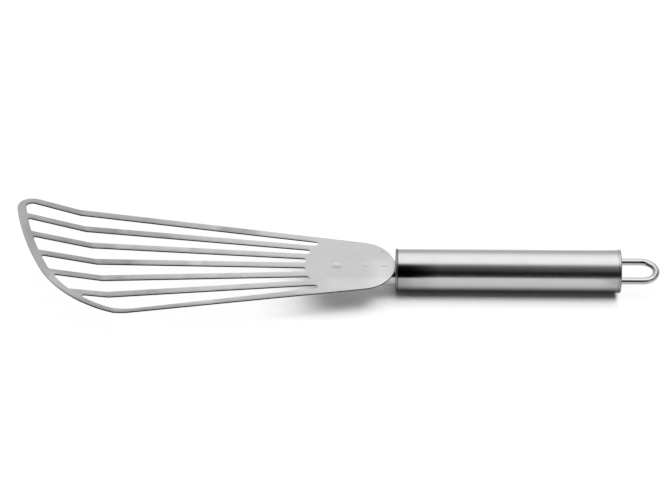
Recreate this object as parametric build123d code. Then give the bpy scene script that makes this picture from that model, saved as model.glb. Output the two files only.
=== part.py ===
from build123d import *
from math import cos, degrees, radians, sin, tan
import os

os.makedirs("parts", exist_ok=True)

# A fish spatula: a slotted sheet blade spot welded to a round bar neck, a tubular handle and a hanging loop.
# It is drawn about the handle's axis. X runs from the handle's front face towards the loop, Z points up,
# and the blade reaches ahead of the handle to negative X. The pieces are moved onto the table at the end.
# A station is a distance ahead of the handle's front face. The far side is +Y and the near side is -Y.

# Handle
handle_radius = 11.0
handle_length = 115.0
tube_wall = 1.0
front_rim_thickness = 1.1
end_rim_thickness = 1.5
end_rim_step = 0.2
plug_length = 5.0
cap_edge_radius = 0.4
seam_edge_radius = 0.08

# Hanging loop
wire_radius = 1.75
leg_margin = 0.6
loop_reach = 20.2
loop_bead_overlap = 0.35
loop_bead_height = 1.2
loop_bead_edge_radius = 0.5

# Neck
neck_radius = 6.5
neck_flat_depth = 2.1
neck_front_station = 37.0
neck_inner_length = 16.0
neck_nose_thickness = 3.0
neck_nose_length = 22.0
neck_nose_corner_radius = 4.0
neck_weld_leg = 1.2

# Blade sheet
sheet_thickness = 0.8
sheet_bottom_height = 2.3
sheet_edge_radius = 0.15
shield_station = 0.1
shield_flat_width = 0.2
side_station = 59.7
blade_half_width = 26.0
far_side_angle = 9.8
near_side_angle = 9.3

# Front of the blade, as arcs that follow one another from the near side to the far side
toe_station = 133.9
toe_radius = 28.5
toe_turn = 15.5
belly_radius = 50.0
belly_turn = 58.0
front_radius = 175.0
corner_radius = 9.5

# Inner edge of the rim, in the same way
inner_toe_station = 131.7
inner_toe_radius = 23.0
inner_toe_turn = 13.0
inner_belly_radius = 47.0
inner_belly_turn = 62.0
inner_front_radius = 170.0
inner_corner_radius = 4.0

# Tines and slots
tine_width = 4.0
tine_pitch = 7.95
inner_tine_steps = (-2, -1, 0, 1, 2)
fan_turn = 1.0
fan_step = 3.2
fan_curl = 0.09
far_tine_span = 4.2
near_tine_span = 3.9
near_inner_angle = 10.4
root_circle_station = 20.6
root_circle_radius = 25.5
slot_field_station = 30.0
slot_corner_radius = 1.2

# Fold of the tip
fold_station = 152.0
fold_slant = 15.3
fold_angle = 11.2
fold_inner_radius = 1.0

# Spot welds and the marks they leave in the sheet, from the tip to the handle
spot_station_shares = (0.81, 0.41, 0.15)
dimple_depth_shares = (0.28, 0.1, 0.06)
dimple_radius_shares = (1.3, 0.9, 0.6)
nugget_radius = 2.0
nugget_depth_in_sheet = 0.3
nugget_depth_in_neck = 0.5

# Cutting shapes reach this far past what they cut
overrun = 60.0

far = 1
near = -1
tube_bore_radius = handle_radius - tube_wall
loop_bend_radius = tube_bore_radius - leg_margin - wire_radius
loop_bead_radius = wire_radius + loop_bead_overlap
sheet_top_height = sheet_bottom_height + sheet_thickness
plug_end = front_rim_thickness + plug_length
end_rim_start = handle_length - end_rim_thickness
end_plug_start = end_rim_start - plug_length


def cylinder_along_x(radius, start, length):
    end_face = Plane(origin=(start, 0, 0), x_dir=(0, 0, -1), z_dir=(1, 0, 0))
    return extrude(end_face * Circle(radius), amount=length)


def circles_at(solid, position):
    return solid.edges().filter_by(GeomType.CIRCLE).filter_by_position(Axis.X, position, position)


def side_point(station, half_width, angle, side):
    return Vector(-station, side * (half_width + (station - side_station) * tan(radians(angle))))


# The area between the two straight sides, closed at the front by arcs and with one rounded far corner.
# The last arc runs on past the far side, which trims it.
def leaf(rear_station, near_side, far_side, start_station, bends, last_radius, far_corner_radius):
    rear_point = side_point(rear_station, *near_side, near)
    edges = [Line(rear_point, side_point(start_station, *near_side, near))]
    for radius, turn in bends:
        edges.append(JernArc(edges[-1] @ 1, edges[-1] % 1, radius, -turn))
    last_turn = degrees((blade_half_width * 2 + overrun) / last_radius)
    edges.append(JernArc(edges[-1] @ 1, edges[-1] % 1, last_radius, -last_turn))
    front_end = edges[-1] @ 1
    rear_end = Vector(-rear_station, front_end.Y)
    edges.append(Line(front_end, rear_end))
    edges.append(Line(rear_end, rear_point))
    far_rear = side_point(rear_station - overrun, *far_side, far)
    far_front = side_point(fold_station + overrun + overrun, *far_side, far)
    below = Vector(0, -overrun - overrun)
    inside_far_side = make_face(Polyline(far_rear, far_front, far_front + below, far_rear + below, close=True))
    area = make_face(edges) & inside_far_side
    return fillet(area.vertices().sort_by(Axis.Y)[-1], far_corner_radius)


# Blade outline
outline = leaf(
    shield_station,
    (blade_half_width, near_side_angle),
    (blade_half_width, far_side_angle),
    toe_station,
    ((toe_radius, toe_turn), (belly_radius, belly_turn)),
    front_radius,
    corner_radius,
)
near_corner_reach = tan(radians(90 - near_side_angle) / 2)
far_corner_reach = tan(radians(90 - far_side_angle) / 2)
shield_corners = outline.vertices().sort_by(Axis.X)[-2:]
shield_width = shield_corners[0].distance_to(shield_corners[1])
shield_corner_radius = (shield_width - shield_flat_width) / (near_corner_reach + far_corner_reach)
outline = fillet(shield_corners, shield_corner_radius)

# Slots
slot_field = leaf(
    slot_field_station,
    (blade_half_width - near_tine_span, near_inner_angle),
    (blade_half_width - far_tine_span, far_side_angle),
    inner_toe_station,
    ((inner_toe_radius, inner_toe_turn), (inner_belly_radius, inner_belly_turn)),
    inner_front_radius,
    inner_corner_radius,
)
slot_field -= Pos(-root_circle_station, 0) * Circle(root_circle_radius)
tine_length = (fold_station + overrun) * 2
for step in inner_tine_steps:
    direction = fan_turn + fan_step * step - fan_curl * step**2
    tine = Pos(-side_station, tine_pitch * step) * Rot(0, 0, -direction) * Rectangle(tine_length, tine_width)
    slot_field -= tine
slots = Sketch()
for opening in slot_field.faces():
    core = offset(opening, amount=-slot_corner_radius)
    slots += offset(core, amount=slot_corner_radius, kind=Kind.ARC)

# Flat blank with its edges broken
blank = Pos(0, 0, sheet_bottom_height) * extrude(outline - slots, amount=sheet_thickness)
sheet_faces = blank.faces().filter_by(Axis.Z)
blank = fillet(sheet_faces.edges(), sheet_edge_radius)

# Spot weld nuggets and the dimples above them
nuggets = []
neck_holes = Part()
for station_share, depth_share, radius_share in zip(
    spot_station_shares, dimple_depth_shares, dimple_radius_shares
):
    station = neck_front_station * station_share
    depth = sheet_thickness * depth_share
    radius = nugget_radius * radius_share
    ball_radius = (radius**2 + depth**2) / (2 * depth)
    ball_height = sheet_top_height + ball_radius - depth
    blank -= Pos(-station, 0, ball_height) * Sphere(ball_radius)
    nugget_height = nugget_depth_in_sheet + nugget_depth_in_neck
    nugget_base = Plane.XY.offset(sheet_bottom_height - nugget_depth_in_neck)
    nugget = extrude(nugget_base * Pos(-station, 0) * Circle(nugget_radius), amount=nugget_height)
    nuggets.append(nugget)
    blank -= nugget
    neck_holes += nugget
spot_welds = Compound(children=nuggets)

# Fold the tip up about a slanted line
fold_direction = Vector(-sin(radians(fold_slant)), cos(radians(fold_slant)), 0)
towards_tip = Vector(-cos(radians(fold_slant)), -sin(radians(fold_slant)), 0)
fold_plane = Plane(origin=(-fold_station, 0, 0), x_dir=fold_direction, z_dir=towards_tip)
fold_axis = Axis((-fold_station, 0, sheet_top_height + fold_inner_radius), fold_direction)
flat_part = split(blank, bisect_by=fold_plane, keep=Keep.BOTTOM)
tip_part = split(blank, bisect_by=fold_plane, keep=Keep.TOP).rotate(fold_axis, fold_angle)
fold_part = revolve(section(blank, section_by=fold_plane), axis=fold_axis, revolution_arc=fold_angle)
blade = flat_part + fold_part + tip_part

# Neck, a round bar with a flat for the sheet and a nose that thins towards the front
neck_axis_height = sheet_bottom_height + neck_flat_depth - neck_radius
neck_length = neck_front_station + neck_inner_length
neck_bar = Pos(0, 0, neck_axis_height) * cylinder_along_x(neck_radius, -neck_front_station, neck_length)
nose_start = neck_nose_length - neck_front_station
neck_side = Polyline(
    (neck_inner_length, sheet_bottom_height),
    (-neck_front_station, sheet_bottom_height),
    (-neck_front_station, sheet_bottom_height - neck_nose_thickness),
    (nose_start, neck_axis_height - neck_radius),
    (neck_inner_length, neck_axis_height - neck_radius),
    close=True,
)
neck = neck_bar & extrude(make_face(Plane.XZ * neck_side), amount=neck_radius, both=True)
neck_plan = Pos(neck_inner_length - neck_length / 2, 0) * Rectangle(neck_length, neck_radius * 2)
neck_plan = fillet(neck_plan.vertices().sort_by(Axis.X)[:2], neck_nose_corner_radius)
neck &= extrude(neck_plan, amount=neck_radius * 2, both=True)
neck_outline = neck
neck -= neck_holes

# Front cap, with the neck's opening
front_cap = cylinder_along_x(handle_radius, 0, front_rim_thickness)
front_cap = fillet(circles_at(front_cap, 0), cap_edge_radius)
front_cap = fillet(circles_at(front_cap, front_rim_thickness), seam_edge_radius)
front_cap += cylinder_along_x(tube_bore_radius, front_rim_thickness, plug_length)
front_cap -= neck_outline

# Weld around the neck inside the handle
neck_weld = cylinder_along_x(neck_radius + neck_weld_leg, plug_end, neck_weld_leg)
neck_weld = chamfer(circles_at(neck_weld, plug_end + neck_weld_leg), neck_weld_leg * cos(radians(45)))
neck_weld = Pos(0, 0, neck_axis_height) * neck_weld - neck_outline

# Handle tube
tube_length = end_rim_start - front_rim_thickness
handle_tube = cylinder_along_x(handle_radius, front_rim_thickness, tube_length)
handle_tube = fillet(handle_tube.edges().filter_by(GeomType.CIRCLE), seam_edge_radius)
handle_tube -= cylinder_along_x(tube_bore_radius, front_rim_thickness, tube_length)

# Hanging loop
loop_centre_x = handle_length + loop_reach - wire_radius - loop_bend_radius
leg_length = loop_centre_x - end_plug_start
near_leg = Line((end_plug_start, -loop_bend_radius), (loop_centre_x, -loop_bend_radius))
bend = JernArc(near_leg @ 1, near_leg % 1, loop_bend_radius, 180)
far_leg = Line(bend @ 1, bend @ 1 - Vector(leg_length, 0))
loop_path = Wire([near_leg.edge(), bend.edge(), far_leg.edge()])
hanging_loop = sweep(Plane(origin=near_leg @ 0, z_dir=near_leg % 0) * Circle(wire_radius), path=loop_path)

# End cap, with a bore for each leg of the loop
end_rim_radius = handle_radius + end_rim_step
end_cap = cylinder_along_x(end_rim_radius, end_rim_start, end_rim_thickness)
end_cap = fillet(circles_at(end_cap, handle_length), cap_edge_radius)
end_cap = fillet(circles_at(end_cap, end_rim_start), seam_edge_radius)
end_cap += cylinder_along_x(tube_bore_radius, end_plug_start, plug_length)
for side in (near, far):
    end_cap -= Pos(0, side * loop_bend_radius) * cylinder_along_x(wire_radius, end_plug_start, leg_length)

# Weld beads over the inner ends of the loop's legs
beads = []
for side in (near, far):
    bead_start = end_plug_start - loop_bead_height
    bead = cylinder_along_x(loop_bead_radius, bead_start, loop_bead_height)
    bead = fillet(circles_at(bead, bead_start), loop_bead_edge_radius)
    beads.append(Pos(0, side * loop_bend_radius) * bead)
loop_welds = Compound(children=beads)

# Set the spatula on the table, centred on the origin
pieces = {
    "blade": blade,
    "neck": neck,
    "spot_welds": spot_welds,
    "front_cap": front_cap,
    "neck_weld": neck_weld,
    "handle_tube": handle_tube,
    "end_cap": end_cap,
    "hanging_loop": hanging_loop,
    "loop_welds": loop_welds,
}
box = Compound([shape for piece in pieces.values() for shape in piece.solids()]).bounding_box()
onto_table = Pos(-box.center().X, -box.center().Y, end_rim_radius)
for name, piece in pieces.items():
    export_step(onto_table * piece, f"parts/{name}.step")
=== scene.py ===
import math

import bpy
from mathutils import Matrix, Vector


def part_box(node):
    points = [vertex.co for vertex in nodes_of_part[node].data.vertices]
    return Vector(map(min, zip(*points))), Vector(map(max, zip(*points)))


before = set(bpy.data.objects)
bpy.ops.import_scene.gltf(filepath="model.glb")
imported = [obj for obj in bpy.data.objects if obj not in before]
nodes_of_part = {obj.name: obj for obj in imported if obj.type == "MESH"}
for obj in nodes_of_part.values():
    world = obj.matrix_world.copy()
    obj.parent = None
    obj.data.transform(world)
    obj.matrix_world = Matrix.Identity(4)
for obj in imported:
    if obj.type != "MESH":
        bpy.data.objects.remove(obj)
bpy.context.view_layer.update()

# A fish spatula in stainless steel, lying on a white table under a soft light from above.
# Lengths are in metres. X runs along the handle towards the loop, Y away from the camera, Z is up.

# Places read from the frame
tube_low, tube_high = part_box("handle_tube")
blade_low, blade_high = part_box("blade")
handle_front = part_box("front_cap")[0].x
handle_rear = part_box("end_cap")[1].x
tube_front = tube_low.x
tube_rear = tube_high.x
tube_axis_y = (tube_low.y + tube_high.y) / 2
blade_tip = blade_low.x
shield_rear = blade_high.x

# Camera, at the photograph's viewing angle
picture_width = 665
sensor_width = 36.0
focal_pixels = 3000
camera_elevation = 39.0
camera_roll = 0.38
camera_distance = 1.5348
camera_aim = Vector((-0.00176, 0.00195, 0.01934))
camera_reach = 50.0

# Steel colours, as linear reflectance
sheet_colour = (0.450, 0.450, 0.452)
tube_colour = (0.455, 0.455, 0.458)
wire_colour = (0.455, 0.455, 0.458)
weld_colour = (0.380, 0.375, 0.370)

# Brushing streaks, handling marks and polished edges, as shares of a steel's own colour and roughness
streak_range = (0.3, 0.7)
streak_tints = (0.93, 1.05)
streak_roughness = (0.9, 1.1)
mark_tint = 0.94
mark_strength = 0.35
mark_roughness = 0.15
edge_tint = 1.2
edge_polish_strength = 0.3

# Direction that the edges of the sheet face where their painted shade is darkest
darkest_side = (0.45, -0.89, 0.0)

# Half size of a patch that leaves nothing out in that direction
whole = 1.0

# Table. Plain white is mixed into it as painted light that lifts the object's shadows: most under the tines
# and the loop, some on the camera's side of the neck and the tube, and a little elsewhere. Each pair is
# where such a share starts and ends its change.
floor_size = 12.0
floor_colour = (0.98, 0.98, 0.98)
white_share = 0.9
under_tines_change = (-0.045, -0.004)
under_loop_change = (0.1425, 0.1455)
white_beside_neck = 0.36
white_beside_tube = 0.13
beside_neck_change = (0.012, 0.024)
beside_tube_change = (0.026, 0.033)
camera_side_change = (tube_axis_y - 0.0062, tube_axis_y - 0.0130)
white_ahead_of_tube = 0.045
white_from_tube = 0.010
from_tube_change = (tube_front - 0.002, tube_front - 0.0005)

# Studio, as pairs of angle and brightness. The angle rises from the horizon on the camera's side,
# over the top and down to the horizon behind. The front profile is for the middle of the room, the
# rear profile for directions that lean towards the loop, the side profile for both sides.
half_turn = 180.0
front_profile = (
    (0.0, 0.22),
    (4.0, 0.10),
    (9.0, 0.01),
    (44.0, 0.00),
    (50.0, 0.02),
    (56.0, 0.05),
    (60.0, 0.10),
    (65.0, 0.20),
    (70.0, 0.56),
    (80.0, 1.60),
    (90.0, 1.74),
    (110.0, 1.76),
    (131.0, 1.68),
    (141.0, 1.33),
    (150.0, 0.95),
    (169.0, 0.80),
    (180.0, 0.80),
)
rear_profile = (
    (0.0, 0.45),
    (4.0, 0.25),
    (9.0, 0.08),
    (20.0, 0.01),
    (30.0, 0.03),
    (36.0, 0.12),
    (42.0, 0.21),
    (50.0, 0.26),
    (58.0, 0.35),
    (64.0, 0.52),
    (70.0, 0.95),
    (76.0, 1.60),
    (82.0, 1.95),
    (110.0, 1.95),
    (128.0, 1.69),
    (141.0, 1.33),
    (150.0, 0.95),
    (169.0, 0.80),
    (180.0, 0.80),
)
side_profile = (
    (0.0, 0.45),
    (40.0, 0.45),
    (52.0, 0.25),
    (62.0, 0.30),
    (70.0, 0.80),
    (80.0, 1.60),
    (95.0, 1.60),
    (110.0, 1.10),
    (125.0, 0.60),
    (141.0, 0.40),
    (150.0, 0.30),
    (165.0, 0.25),
    (180.0, 0.25),
)
rear_profile_change = (0.022, 0.090)
side_profile_change = (0.45, 0.70)
dark_ends_change = (0.70, 0.95)
dark_ends_share = 0.20

# Overhead lamp that lights the table, a little on the camera's side
lamp_height = 1.5
lamp_near_edge = -0.65
lamp_far_edge = 0.16
lamp_width = 2.4
lamp_radiance = 1.85


def new_node(tree, kind, inputs=(), **settings):
    node = tree.nodes.new(kind)
    for name, value in settings.items():
        setattr(node, name, value)
    for socket, value in dict(inputs).items():
        plug(tree, value, node.inputs[socket])
    return node


def plug(tree, value, socket):
    if isinstance(value, bpy.types.NodeSocket):
        tree.links.new(value, socket)
    else:
        socket.default_value = value


def maths(tree, operation, first, second=0.0, clamp=False):
    inputs = {0: first, 1: second}
    return new_node(tree, "ShaderNodeMath", inputs, operation=operation, use_clamp=clamp).outputs[0]


def vector_maths(tree, operation, first, second=(0.0, 0.0, 0.0)):
    return new_node(tree, "ShaderNodeVectorMath", {0: first, 1: second}, operation=operation).outputs


def remap(tree, value, low, high, new_low, new_high, interpolation="LINEAR"):
    inputs = {"Value": value, "From Min": low, "From Max": high, "To Min": new_low, "To Max": new_high}
    return new_node(tree, "ShaderNodeMapRange", inputs, interpolation_type=interpolation).outputs["Result"]


def stretched_noise(tree, place, stretch, scale, detail, roughness):
    mapping = new_node(tree, "ShaderNodeMapping", {"Vector": place, "Scale": stretch})
    inputs = {"Vector": mapping.outputs[0], "Scale": scale, "Detail": detail, "Roughness": roughness}
    return new_node(tree, "ShaderNodeTexNoise", inputs).outputs[0]


def mixed_colour(tree, factor, first, second):
    return new_node(tree, "ShaderNodeMix", {0: factor, 6: first, 7: second}, data_type="RGBA").outputs[2]


def mixed_value(tree, factor, first, second):
    return new_node(tree, "ShaderNodeMix", {0: factor, 2: first, 3: second}, data_type="FLOAT").outputs[0]


def object_place(tree):
    return new_node(tree, "ShaderNodeTexCoord").outputs["Object"]


def parts_of(tree, vector):
    return new_node(tree, "ShaderNodeSeparateXYZ", {0: vector}).outputs


def shader_group(name, inputs, outputs):
    group = bpy.data.node_groups.new(name, "ShaderNodeTree")
    for socket_name, kind, value in inputs:
        socket = group.interface.new_socket(socket_name, in_out="INPUT", socket_type=kind)
        socket.default_value = value
    for socket_name, kind in outputs:
        group.interface.new_socket(socket_name, in_out="OUTPUT", socket_type=kind)
    return group, group.nodes.new("NodeGroupInput"), group.nodes.new("NodeGroupOutput")


def placed_group(tree, group, values=()):
    node = tree.nodes.new("ShaderNodeGroup")
    node.node_tree = group
    for name, value in dict(values).items():
        plug(tree, value, node.inputs[name])
    return node.outputs


# Fine brushing lines: much longer along the grain than across it
def make_brushing_group():
    inputs = (
        ("Grain Scale", "NodeSocketFloat", 1000.0),
        ("Grain Stretch", "NodeSocketVector", (0.02, 1.0, 1.0)),
    )
    outputs = (("Height", "NodeSocketFloat"), ("Streaks", "NodeSocketFloat"))
    coarse_share = 0.22
    group, given, result = shader_group("brushing", inputs, outputs)
    place = object_place(group)
    scale = given.outputs["Grain Scale"]
    grain = given.outputs["Grain Stretch"]
    fine = stretched_noise(group, place, grain, scale, detail=3.0, roughness=0.6)
    coarse_scale = maths(group, "MULTIPLY", scale, coarse_share)
    coarse = stretched_noise(group, place, grain, coarse_scale, detail=2.0, roughness=0.5)
    average = maths(group, "MULTIPLY", maths(group, "ADD", fine, coarse), 0.5)
    group.links.new(fine, result.inputs["Height"])
    group.links.new(average, result.inputs["Streaks"])
    return group


# Slow waves left by rolling and polishing, with soft cloudy handling marks
def make_surface_waves_group():
    inputs = (
        ("Wave Scale", "NodeSocketFloat", 30.0),
        ("Wave Stretch", "NodeSocketVector", (1.0, 1.0, 1.0)),
        ("Mark Scale", "NodeSocketFloat", 90.0),
    )
    outputs = (("Waves", "NodeSocketFloat"), ("Marks", "NodeSocketFloat"))
    mark_start, mark_full = 0.45, 0.7
    group, given, result = shader_group("surface_waves", inputs, outputs)
    place = object_place(group)
    wave_scale = given.outputs["Wave Scale"]
    wave_stretch = given.outputs["Wave Stretch"]
    waves = stretched_noise(group, place, wave_stretch, wave_scale, detail=1.0, roughness=0.4)
    mark_scale = given.outputs["Mark Scale"]
    clouds = stretched_noise(group, place, (1.0, 1.0, 1.0), mark_scale, detail=4.0, roughness=0.6)
    marks = remap(group, clouds, mark_start, mark_full, 0.0, 1.0, "SMOOTHSTEP")
    group.links.new(waves, result.inputs["Waves"])
    group.links.new(marks, result.inputs["Marks"])
    return group


# Edges that handling has polished
def make_edge_polish_group():
    inputs = (("Edge Width", "NodeSocketFloat", 0.0003),)
    outputs = (("Edges", "NodeSocketFloat"),)
    edge_start, edge_full = 0.995, 0.9
    group, given, result = shader_group("edge_polish", inputs, outputs)
    normal = new_node(group, "ShaderNodeNewGeometry").outputs["Normal"]
    bevel = new_node(group, "ShaderNodeBevel", {"Radius": given.outputs["Edge Width"]}, samples=4)
    likeness = vector_maths(group, "DOT_PRODUCT", normal, bevel.outputs[0])["Value"]
    group.links.new(remap(group, likeness, edge_start, edge_full, 0.0, 1.0), result.inputs["Edges"])
    return group


# Painted shade and painted highlight on edges rounded over, told apart by the side that they face
def make_painted_edge_light_group():
    inputs = (
        ("Edge Width", "NodeSocketFloat", 0.0020),
        ("Darkest Side", "NodeSocketVector", darkest_side),
    )
    outputs = (("Near Side Shade", "NodeSocketFloat"), ("Far Side Highlight", "NodeSocketFloat"))
    lean_start, lean_full = 0.10, 0.40
    group, given, result = shader_group("painted_edge_light", inputs, outputs)
    bevel = new_node(group, "ShaderNodeBevel", {"Radius": given.outputs["Edge Width"]}, samples=6)
    facing = vector_maths(group, "DOT_PRODUCT", bevel.outputs[0], given.outputs["Darkest Side"])["Value"]
    near_side = remap(group, facing, lean_start, lean_full, 0.0, 1.0)
    far_side = remap(group, facing, -lean_start, -lean_full, 0.0, 1.0)
    group.links.new(near_side, result.inputs["Near Side Shade"])
    group.links.new(far_side, result.inputs["Far Side Highlight"])
    return group


# Painted shade on the cut faces of a flat sheet, which stand upright
def make_cut_face_shade_group():
    inputs = (
        ("Upright Limit", "NodeSocketFloat", 0.80),
        ("Darkest Side", "NodeSocketVector", darkest_side),
    )
    outputs = (("Cut Face Shade", "NodeSocketFloat"),)
    fully_upright = 0.3
    dark_start, dark_full = 0.42, 0.62
    least_dark = 0.35
    group, given, result = shader_group("cut_face_shade", inputs, outputs)
    normal = new_node(group, "ShaderNodeNewGeometry").outputs["True Normal"]
    slope = maths(group, "ABSOLUTE", parts_of(group, normal)["Z"])
    upright = remap(group, slope, given.outputs["Upright Limit"], fully_upright, 0.0, 1.0)
    facing = vector_maths(group, "DOT_PRODUCT", normal, given.outputs["Darkest Side"])["Value"]
    darkness = remap(group, facing, dark_start, dark_full, least_dark, 1.0)
    group.links.new(maths(group, "MULTIPLY", upright, darkness), result.inputs["Cut Face Shade"])
    return group


# A soft-edged box, for seams, marks, painted shade and painted reflections
def make_soft_patch_group():
    inputs = (
        ("Centre", "NodeSocketVector", (0.0, 0.0, 0.0)),
        ("Half Size", "NodeSocketVector", (1.0, 1.0, 1.0)),
        ("Softness", "NodeSocketFloat", 0.001),
    )
    outputs = (("Patch", "NodeSocketFloat"),)
    group, given, result = shader_group("soft_patch", inputs, outputs)
    offset = vector_maths(group, "SUBTRACT", object_place(group), given.outputs["Centre"])[0]
    distance = vector_maths(group, "ABSOLUTE", offset)[0]
    past = vector_maths(group, "SUBTRACT", distance, given.outputs["Half Size"])[0]
    sides = parts_of(group, past)
    furthest = maths(group, "MAXIMUM", maths(group, "MAXIMUM", sides["X"], sides["Y"]), sides["Z"])
    patch = remap(group, furthest, 0.0, given.outputs["Softness"], 1.0, 0.0, "SMOOTHSTEP")
    group.links.new(patch, result.inputs["Patch"])
    return group


brushing = make_brushing_group()
cut_face_shade = make_cut_face_shade_group()
soft_patch = make_soft_patch_group()
surface_waves = make_surface_waves_group()
edge_polish = make_edge_polish_group()
painted_edge_light = make_painted_edge_light_group()


def tinted(colour, tint):
    return [min(1.0, channel * tint) for channel in colour] + [1.0]


def steel(
    name, colour, roughness, grain_scale, grain_stretch, grain_depth, wave_scale, wave_stretch, wave_depth
):
    material = bpy.data.materials.new(name)
    material.use_nodes = True
    tree = material.node_tree
    tree.nodes.clear()
    output = tree.nodes.new("ShaderNodeOutputMaterial")
    shader = tree.nodes.new("ShaderNodeBsdfPrincipled")
    tree.links.new(shader.outputs[0], output.inputs["Surface"])
    shader.inputs["Metallic"].default_value = 1.0

    grain = placed_group(tree, brushing, {"Grain Scale": grain_scale, "Grain Stretch": grain_stretch})
    slow = placed_group(tree, surface_waves, {"Wave Scale": wave_scale, "Wave Stretch": wave_stretch})
    edges = placed_group(tree, edge_polish)["Edges"]

    dark_tint, light_tint = streak_tints
    streaked = mixed_colour(tree, grain["Streaks"], tinted(colour, dark_tint), tinted(colour, light_tint))
    mark_share = maths(tree, "MULTIPLY", slow["Marks"], mark_strength)
    marked = mixed_colour(tree, mark_share, streaked, tinted(colour, mark_tint))
    edged = mixed_colour(tree, edges, marked, tinted(colour, edge_tint))
    tree.links.new(edged, shader.inputs["Base Color"])

    smooth, coarse = (roughness * share for share in streak_roughness)
    streaked_roughness = remap(tree, grain["Streaks"], *streak_range, smooth, coarse)
    marked_roughness = maths(tree, "MULTIPLY", slow["Marks"], roughness * mark_roughness)
    rough = maths(tree, "ADD", streaked_roughness, marked_roughness)
    polished = maths(tree, "MULTIPLY", edges, roughness * edge_polish_strength)
    tree.links.new(maths(tree, "SUBTRACT", rough, polished, clamp=True), shader.inputs["Roughness"])

    slow_relief = {"Height": slow["Waves"], "Strength": 1.0, "Distance": wave_depth}
    slow_normal = new_node(tree, "ShaderNodeBump", slow_relief).outputs[0]
    fine_relief = {"Height": grain["Height"], "Strength": 1.0, "Distance": grain_depth}
    fine_bump = new_node(tree, "ShaderNodeBump", {**fine_relief, "Normal": slow_normal})
    tree.links.new(fine_bump.outputs[0], shader.inputs["Normal"])
    return material


# Tints a material where the mask is, and gives it another roughness there
def lay_over(material, mask, tint, roughness):
    tree = material.node_tree
    shader = next(node for node in tree.nodes if node.type == "BSDF_PRINCIPLED")
    base = shader.inputs["Base Color"].links[0].from_socket
    over = vector_maths(tree, "MULTIPLY", base, (tint, tint, tint))[0]
    tree.links.new(mixed_colour(tree, mask, base, over), shader.inputs["Base Color"])
    rough = shader.inputs["Roughness"].links[0].from_socket
    tree.links.new(mixed_value(tree, mask, rough, roughness), shader.inputs["Roughness"])


def soft_box(tree, centre, half_size, softness):
    values = {"Centre": centre, "Half Size": half_size, "Softness": softness}
    return placed_group(tree, soft_patch, values)["Patch"]


def patch_on(material, centre, half_size, softness, tint, roughness, strength=1.0):
    tree = material.node_tree
    mask = maths(tree, "MULTIPLY", soft_box(tree, centre, half_size, softness), strength)
    lay_over(material, mask, tint, roughness)


# Patches that go right through the sheet
def patches_on_sheet(sheet_patches):
    for (centre_x, centre_y), (half_x, half_y), softness, tint in sheet_patches:
        centre = (centre_x, centre_y, 0.0)
        patch_on(sheet_steel, centre, (half_x, half_y, whole), softness, tint, roughness=0.3)


def dress(node_name, material):
    for slot in nodes_of_part[node_name].material_slots:
        slot.material = material


sheet_steel = steel(
    "rolled_sheet_steel",
    sheet_colour,
    roughness=0.30,
    grain_scale=2500.0,
    grain_stretch=(0.05, 1.0, 1.0),
    grain_depth=0.000004,
    wave_scale=40.0,
    wave_stretch=(1.0, 1.0, 1.0),
    wave_depth=0.0004,
)
tube_steel = steel(
    "satin_tube_steel",
    tube_colour,
    roughness=0.20,
    grain_scale=3000.0,
    grain_stretch=(0.01, 1.0, 1.0),
    grain_depth=0.000003,
    wave_scale=40.0,
    wave_stretch=(0.6, 1.0, 1.0),
    wave_depth=0.0002,
)
turned_steel = steel(
    "turned_cap_steel",
    tube_colour,
    roughness=0.20,
    grain_scale=3000.0,
    grain_stretch=(1.0, 0.05, 0.05),
    grain_depth=0.000003,
    wave_scale=40.0,
    wave_stretch=(1.0, 1.0, 1.0),
    wave_depth=0.0001,
)
wire_steel = steel(
    "drawn_wire_steel",
    wire_colour,
    roughness=0.11,
    grain_scale=2500.0,
    grain_stretch=(0.03, 1.0, 1.0),
    grain_depth=0.000002,
    wave_scale=60.0,
    wave_stretch=(1.0, 1.0, 1.0),
    wave_depth=0.0001,
)
bar_steel = steel(
    "rolled_bar_steel",
    sheet_colour,
    roughness=0.20,
    grain_scale=2000.0,
    grain_stretch=(0.05, 1.0, 1.0),
    grain_depth=0.000005,
    wave_scale=50.0,
    wave_stretch=(1.0, 1.0, 1.0),
    wave_depth=0.0003,
)
weld_metal = steel(
    "weld_metal",
    weld_colour,
    roughness=0.42,
    grain_scale=1500.0,
    grain_stretch=(1.0, 1.0, 1.0),
    grain_depth=0.00002,
    wave_scale=300.0,
    wave_stretch=(1.0, 1.0, 1.0),
    wave_depth=0.0001,
)

# Edges of the sheet: painted shade on the near side and painted highlight on the far side where they are
# rounded over in the slotted area, and painted shade where they are cut
sheet_tree = sheet_steel.node_tree
tip_end = (blade_tip, 0.0, 0.0)
slotted_length = 0.150
edge_light = placed_group(sheet_tree, painted_edge_light)
slotted_area = soft_box(sheet_tree, tip_end, (slotted_length, whole, whole), softness=0.008)
near_edge_painted_shade = maths(sheet_tree, "MULTIPLY", slotted_area, edge_light["Near Side Shade"])
far_edge_painted_highlight = maths(sheet_tree, "MULTIPLY", slotted_area, edge_light["Far Side Highlight"])
lay_over(sheet_steel, near_edge_painted_shade, tint=0.55, roughness=0.35)
lay_over(sheet_steel, far_edge_painted_highlight, tint=1.15, roughness=0.3)
lay_over(sheet_steel, placed_group(sheet_tree, cut_face_shade)["Cut Face Shade"], tint=0.06, roughness=0.5)

# A copy of the cap steel that takes a darker rim, a seam and painted shade on its near side
front_cap_steel = turned_steel.copy()
front_cap_steel.name = "front_cap_steel_with_dark_rim"

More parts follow.
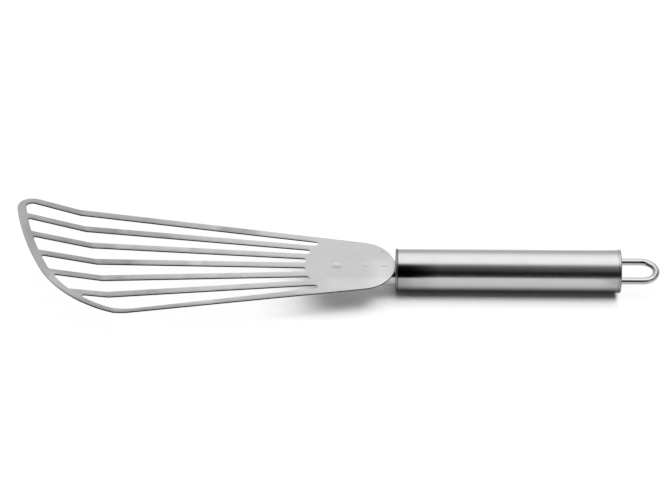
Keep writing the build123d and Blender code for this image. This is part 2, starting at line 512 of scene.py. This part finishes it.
# Patches on the handle, laid over one another in this order: steels, centre, half size, softness, tint,
# roughness, strength
front_steels = (tube_steel, front_cap_steel)
end_steels = (tube_steel, turned_steel)
handle_steels = (tube_steel, turned_steel, front_cap_steel)
front_end = (handle_front, 0.0, 0.0)
front_rim = ((handle_front + tube_front) / 2, 0.0, 0.0)
front_seam = (tube_front, 0.0, 0.0)
end_seam = (tube_rear, 0.0, 0.0)
rear_end = (handle_rear, 0.0, 0.0)
end_rim_length = handle_rear - tube_rear
near_side_y = tube_axis_y - 0.012
near_side = (0.0, near_side_y, 0.0)
handle_patches = (
    # Dark rim of the front cap
    ((front_cap_steel,), front_rim, (0.002, whole, whole), 0.0002, 0.45, 0.3, 1.0),
    # Fine dark seams between the tube and its two caps
    (front_steels, front_seam, (0.00012, whole, whole), 0.0002, 0.15, 0.5, 0.8),
    (end_steels, end_seam, (0.00006, whole, whole), 0.00015, 0.4, 0.4, 0.3),
    # Rim of the end cap, a little duller than the tube
    ((turned_steel,), rear_end, (end_rim_length, whole, whole), 0.0001, 0.88, 0.2, 1.0),
    # Front end of the tube, more polished
    ((tube_steel,), front_end, (0.004, whole, whole), 0.008, 1.0, 0.09, 1.0),
    # Painted shade: darker stretches beside the two ends, below the top
    ((tube_steel,), front_end, (0.003, whole, 0.012), 0.008, 0.78, 0.2, 1.0),
    ((tube_steel,), front_end, (0.010, whole, 0.010), 0.014, 0.80, 0.2, 1.0),
    (end_steels, rear_end, (0.003, whole, 0.012), 0.010, 0.82, 0.2, 1.0),
    # Outer corner of the end cap
    ((turned_steel,), rear_end, (0.0004, whole, whole), 0.0003, 0.6, 0.3, 1.0),
    # Painted shade on the near side of the handle, darker towards the table
    (handle_steels, near_side, (whole, 0.008, 0.0055), 0.005, 0.15, 0.2, 1.0),
)
for steels, *patch in handle_patches:
    for material in steels:
        patch_on(material, *patch)

# Painted reflection: a black band on the near side of the tube's front end, which fades out along the tube
tube_tree = tube_steel.node_tree
band_height = 0.0172
band_half_size = (whole, 0.008, 0.0020)
painted_black_band = soft_box(tube_tree, (0.0, near_side_y, band_height), band_half_size, softness=0.0013)
along_tube = parts_of(tube_tree, object_place(tube_tree))["X"]
fade_start, fade_end = handle_front + 0.006, handle_front + 0.024
band_fade = remap(tube_tree, along_tube, fade_start, fade_end, 1.0, 0.0, "SMOOTHSTEP")
lay_over(tube_steel, maths(tube_tree, "MULTIPLY", painted_black_band, band_fade), tint=0.12, roughness=0.15)

# Painted reflection of the white table: the lower part of the neck is brighter
neck_half_size = (whole, whole, 0.0022)
patch_on(bar_steel, (0.0, 0.0, 0.004), neck_half_size, softness=0.0022, tint=1.9, roughness=0.3)

# Painted soft reflections and painted shade on the blade: centre and half size in X and Y, softness, tint
blade_painted_light = (
    # Painted shade, darker, from the tip to the shield
    ((-0.1160, 0.0), (0.018, whole), 0.045, 0.72),
    ((-0.0506, 0.0280), (0.005, 0.004), 0.009, 0.70),
    ((-0.1195, 0.0245), (0.004, 0.002), 0.006, 0.80),
    ((-0.1095, -0.0015), (0.008, 0.002), 0.006, 0.88),
    ((-0.0880, -0.0410), (0.016, 0.008), 0.006, 0.90),
    ((-0.0410, -0.0310), (0.018, 0.003), 0.005, 0.85),
    # Painted reflections, brighter, on the tines and the rim
    ((-0.0950, 0.0095), (0.016, 0.001), 0.005, 1.22),
    ((-0.0850, -0.0020), (0.014, 0.003), 0.006, 1.14),
    ((-0.0920, -0.0135), (0.012, 0.002), 0.006, 1.15),
    ((-0.1310, -0.0260), (0.012, 0.006), 0.006, 1.26),
    # Painted shade, darker, along the end of the tip
    ((blade_tip, 0.0), (0.009, whole), 0.006, 0.90),
)
patches_on_sheet(blade_painted_light)

# Cloudy handling marks on the tines
tines_length = 0.115
tines_area = soft_box(sheet_tree, tip_end, (tines_length, whole, whole), softness=0.02)
clouds = placed_group(sheet_tree, surface_waves, {"Mark Scale": 130.0})["Marks"]
lay_over(sheet_steel, maths(sheet_tree, "MULTIPLY", tines_area, clouds), tint=0.86, roughness=0.33)

# Painted soft reflections and painted shade on the shield, and real marks, in the same order of values
shield_painted_light_and_marks = (
    # Painted reflections, brighter, at the rear and on the near side
    ((shield_rear, tube_axis_y - 0.0100), (0.007, 0.009), 0.010, 1.18),
    ((0.0110, -0.0200), (0.012, 0.0015), 0.006, 1.10),
    # Darker, at the marks that the spot welds left: painted shade in the main dimple and over its
    # highlight, then a fainter weld mark, a dash and a speck
    ((0.0003, -0.0066), (0.0020, 0.0003), 0.0007, 0.84),
    ((0.0003, -0.0020), (0.0020, 0.0004), 0.0010, 0.92),
    ((0.0152, -0.0056), (0.0006, 0.0002), 0.0006, 0.92),
    ((0.0248, -0.0055), (0.0016, 0.0001), 0.0006, 0.72),
    ((0.0241, 0.0065), (0.0003, 0.0002), 0.0007, 0.75),
)
patches_on_sheet(shield_painted_light_and_marks)

dress("blade", sheet_steel)
dress("neck", bar_steel)
dress("spot_welds", weld_metal)
dress("front_cap", front_cap_steel)
dress("neck_weld", weld_metal)
dress("handle_tube", tube_steel)
dress("end_cap", turned_steel)
dress("hanging_loop", wire_steel)
dress("loop_welds", weld_metal)


def make_floor():
    half = floor_size / 2
    corners = [(-half, -half, 0.0), (half, -half, 0.0), (half, half, 0.0), (-half, half, 0.0)]
    mesh = bpy.data.meshes.new("table_top")
    mesh.from_pydata(corners, [], [(0, 1, 2, 3)])
    floor = bpy.data.objects.new("table_top", mesh)
    bpy.context.scene.collection.objects.link(floor)
    material = bpy.data.materials.new("white_table")
    material.use_nodes = True
    tree = material.node_tree
    tree.nodes.clear()
    output = tree.nodes.new("ShaderNodeOutputMaterial")
    surface = new_node(tree, "ShaderNodeBsdfDiffuse", {"Color": (*floor_colour, 1.0)})

    # Painted light: a glow of plain white, for what the camera sees straight or in the steel
    rays = tree.nodes.new("ShaderNodeLightPath").outputs
    straight_rays = maths(tree, "ADD", rays["Is Camera Ray"], rays["Is Glossy Ray"])
    seen = maths(tree, "ADD", straight_rays, rays["Is Transmission Ray"])
    white = new_node(tree, "ShaderNodeEmission", {"Strength": seen})

    # Painted light where the shares are larger, lifting the object's shadows under the tines, the loop and
    # beside the handle
    place = parts_of(tree, object_place(tree))
    along = place["X"]
    under_tines = remap(tree, along, *under_tines_change, white_share, 0.0, "SMOOTHSTEP")
    under_loop = remap(tree, along, *under_loop_change, 0.0, white_share, "SMOOTHSTEP")
    beside_neck = remap(tree, along, *beside_neck_change, 0.0, white_beside_neck, "SMOOTHSTEP")
    less_beside_tube = white_beside_neck - white_beside_tube
    beside_tube = remap(tree, along, *beside_tube_change, 0.0, less_beside_tube, "SMOOTHSTEP")
    camera_side = remap(tree, place["Y"], *camera_side_change, 0.0, 1.0, "SMOOTHSTEP")
    beside_handle = maths(tree, "MULTIPLY", camera_side, maths(tree, "SUBTRACT", beside_neck, beside_tube))
    elsewhere = remap(tree, along, *from_tube_change, white_ahead_of_tube, white_from_tube)
    bright_parts = maths(tree, "ADD", under_tines, under_loop)
    soft_parts = maths(tree, "ADD", beside_handle, elsewhere)
    share = maths(tree, "ADD", bright_parts, soft_parts, clamp=True)
    both = new_node(tree, "ShaderNodeMixShader", {0: share, 1: surface.outputs[0], 2: white.outputs[0]})
    tree.links.new(both.outputs[0], output.inputs["Surface"])
    mesh.materials.append(material)


def profile_ramp(tree, angle_share, profile):
    brightest = max(level for angle, level in profile)
    ramp = tree.nodes.new("ShaderNodeValToRGB")
    stops = ramp.color_ramp.elements
    # Each new stop moves to its own place below
    for_now = 0.5
    while len(stops) < len(profile):
        stops.new(for_now)
    for stop, (angle, level) in zip(stops, profile):
        stop.position = angle / half_turn
        grey = level / brightest
        stop.color = (grey, grey, grey, 1.0)
    tree.links.new(angle_share, ramp.inputs[0])
    return maths(tree, "MULTIPLY", ramp.outputs[0], brightest)


# Soft light all round, with one dark flag on the camera's side
def make_studio():
    world = bpy.data.worlds.new("studio")
    bpy.context.scene.world = world
    world.use_nodes = True
    tree = world.node_tree
    tree.nodes.clear()
    output = tree.nodes.new("ShaderNodeOutputWorld")
    background = tree.nodes.new("ShaderNodeBackground")
    tree.links.new(background.outputs[0], output.inputs["Surface"])
    direction = parts_of(tree, new_node(tree, "ShaderNodeTexCoord").outputs["Generated"])
    towards_camera = maths(tree, "MULTIPLY", direction["Y"], -1.0)
    height = maths(tree, "MAXIMUM", direction["Z"], 0.0)
    angle = maths(tree, "ARCTAN2", height, towards_camera)
    angle_share = maths(tree, "DIVIDE", angle, math.pi)
    front_light = profile_ramp(tree, angle_share, front_profile)
    rear_light = profile_ramp(tree, angle_share, rear_profile)
    side_light = profile_ramp(tree, angle_share, side_profile)
    towards_rear = remap(tree, direction["X"], *rear_profile_change, 0.0, 1.0)
    middle_light = mixed_value(tree, towards_rear, front_light, rear_light)
    sideways = maths(tree, "ABSOLUTE", direction["X"])
    towards_side = remap(tree, sideways, *side_profile_change, 0.0, 1.0, "SMOOTHSTEP")
    light = mixed_value(tree, towards_side, middle_light, side_light)
    ends = remap(tree, sideways, *dark_ends_change, 1.0, dark_ends_share, "SMOOTHSTEP")
    tree.links.new(maths(tree, "MULTIPLY", light, ends), background.inputs["Strength"])
    background.inputs["Color"].default_value = (1.0, 1.0, 1.0, 1.0)


def make_lamp():
    depth = lamp_far_edge - lamp_near_edge
    data = bpy.data.lights.new("overhead_lamp", "AREA")
    data.shape = "RECTANGLE"
    data.size = lamp_width
    data.size_y = depth
    data.energy = lamp_radiance * math.pi * lamp_width * depth
    lamp = bpy.data.objects.new("overhead_lamp", data)
    lamp.location = (0.0, (lamp_near_edge + lamp_far_edge) / 2, lamp_height)
    lamp.visible_camera = False
    lamp.visible_glossy = False
    bpy.context.scene.collection.objects.link(lamp)


def make_camera():
    elevation = math.radians(camera_elevation)
    roll = math.radians(camera_roll)
    forward = Vector((0.0, math.cos(elevation), -math.sin(elevation)))
    level_right = Vector((1.0, 0.0, 0.0))
    level_up = Vector((0.0, math.sin(elevation), math.cos(elevation)))
    right = level_right * math.cos(roll) + level_up * math.sin(roll)
    up = level_up * math.cos(roll) - level_right * math.sin(roll)
    place = camera_aim - forward * camera_distance
    data = bpy.data.cameras.new("camera")
    data.sensor_width = sensor_width
    data.sensor_fit = "HORIZONTAL"
    data.lens = focal_pixels / picture_width * sensor_width
    data.clip_end = camera_reach
    camera = bpy.data.objects.new("camera", data)
    bpy.context.scene.collection.objects.link(camera)
    turn = Matrix((right, up, -forward)).transposed().to_4x4()
    camera.matrix_world = Matrix.Translation(place) @ turn
    bpy.context.scene.camera = camera


make_floor()
make_studio()
make_lamp()
make_camera()
bpy.context.scene.view_settings.view_transform = "Standard"
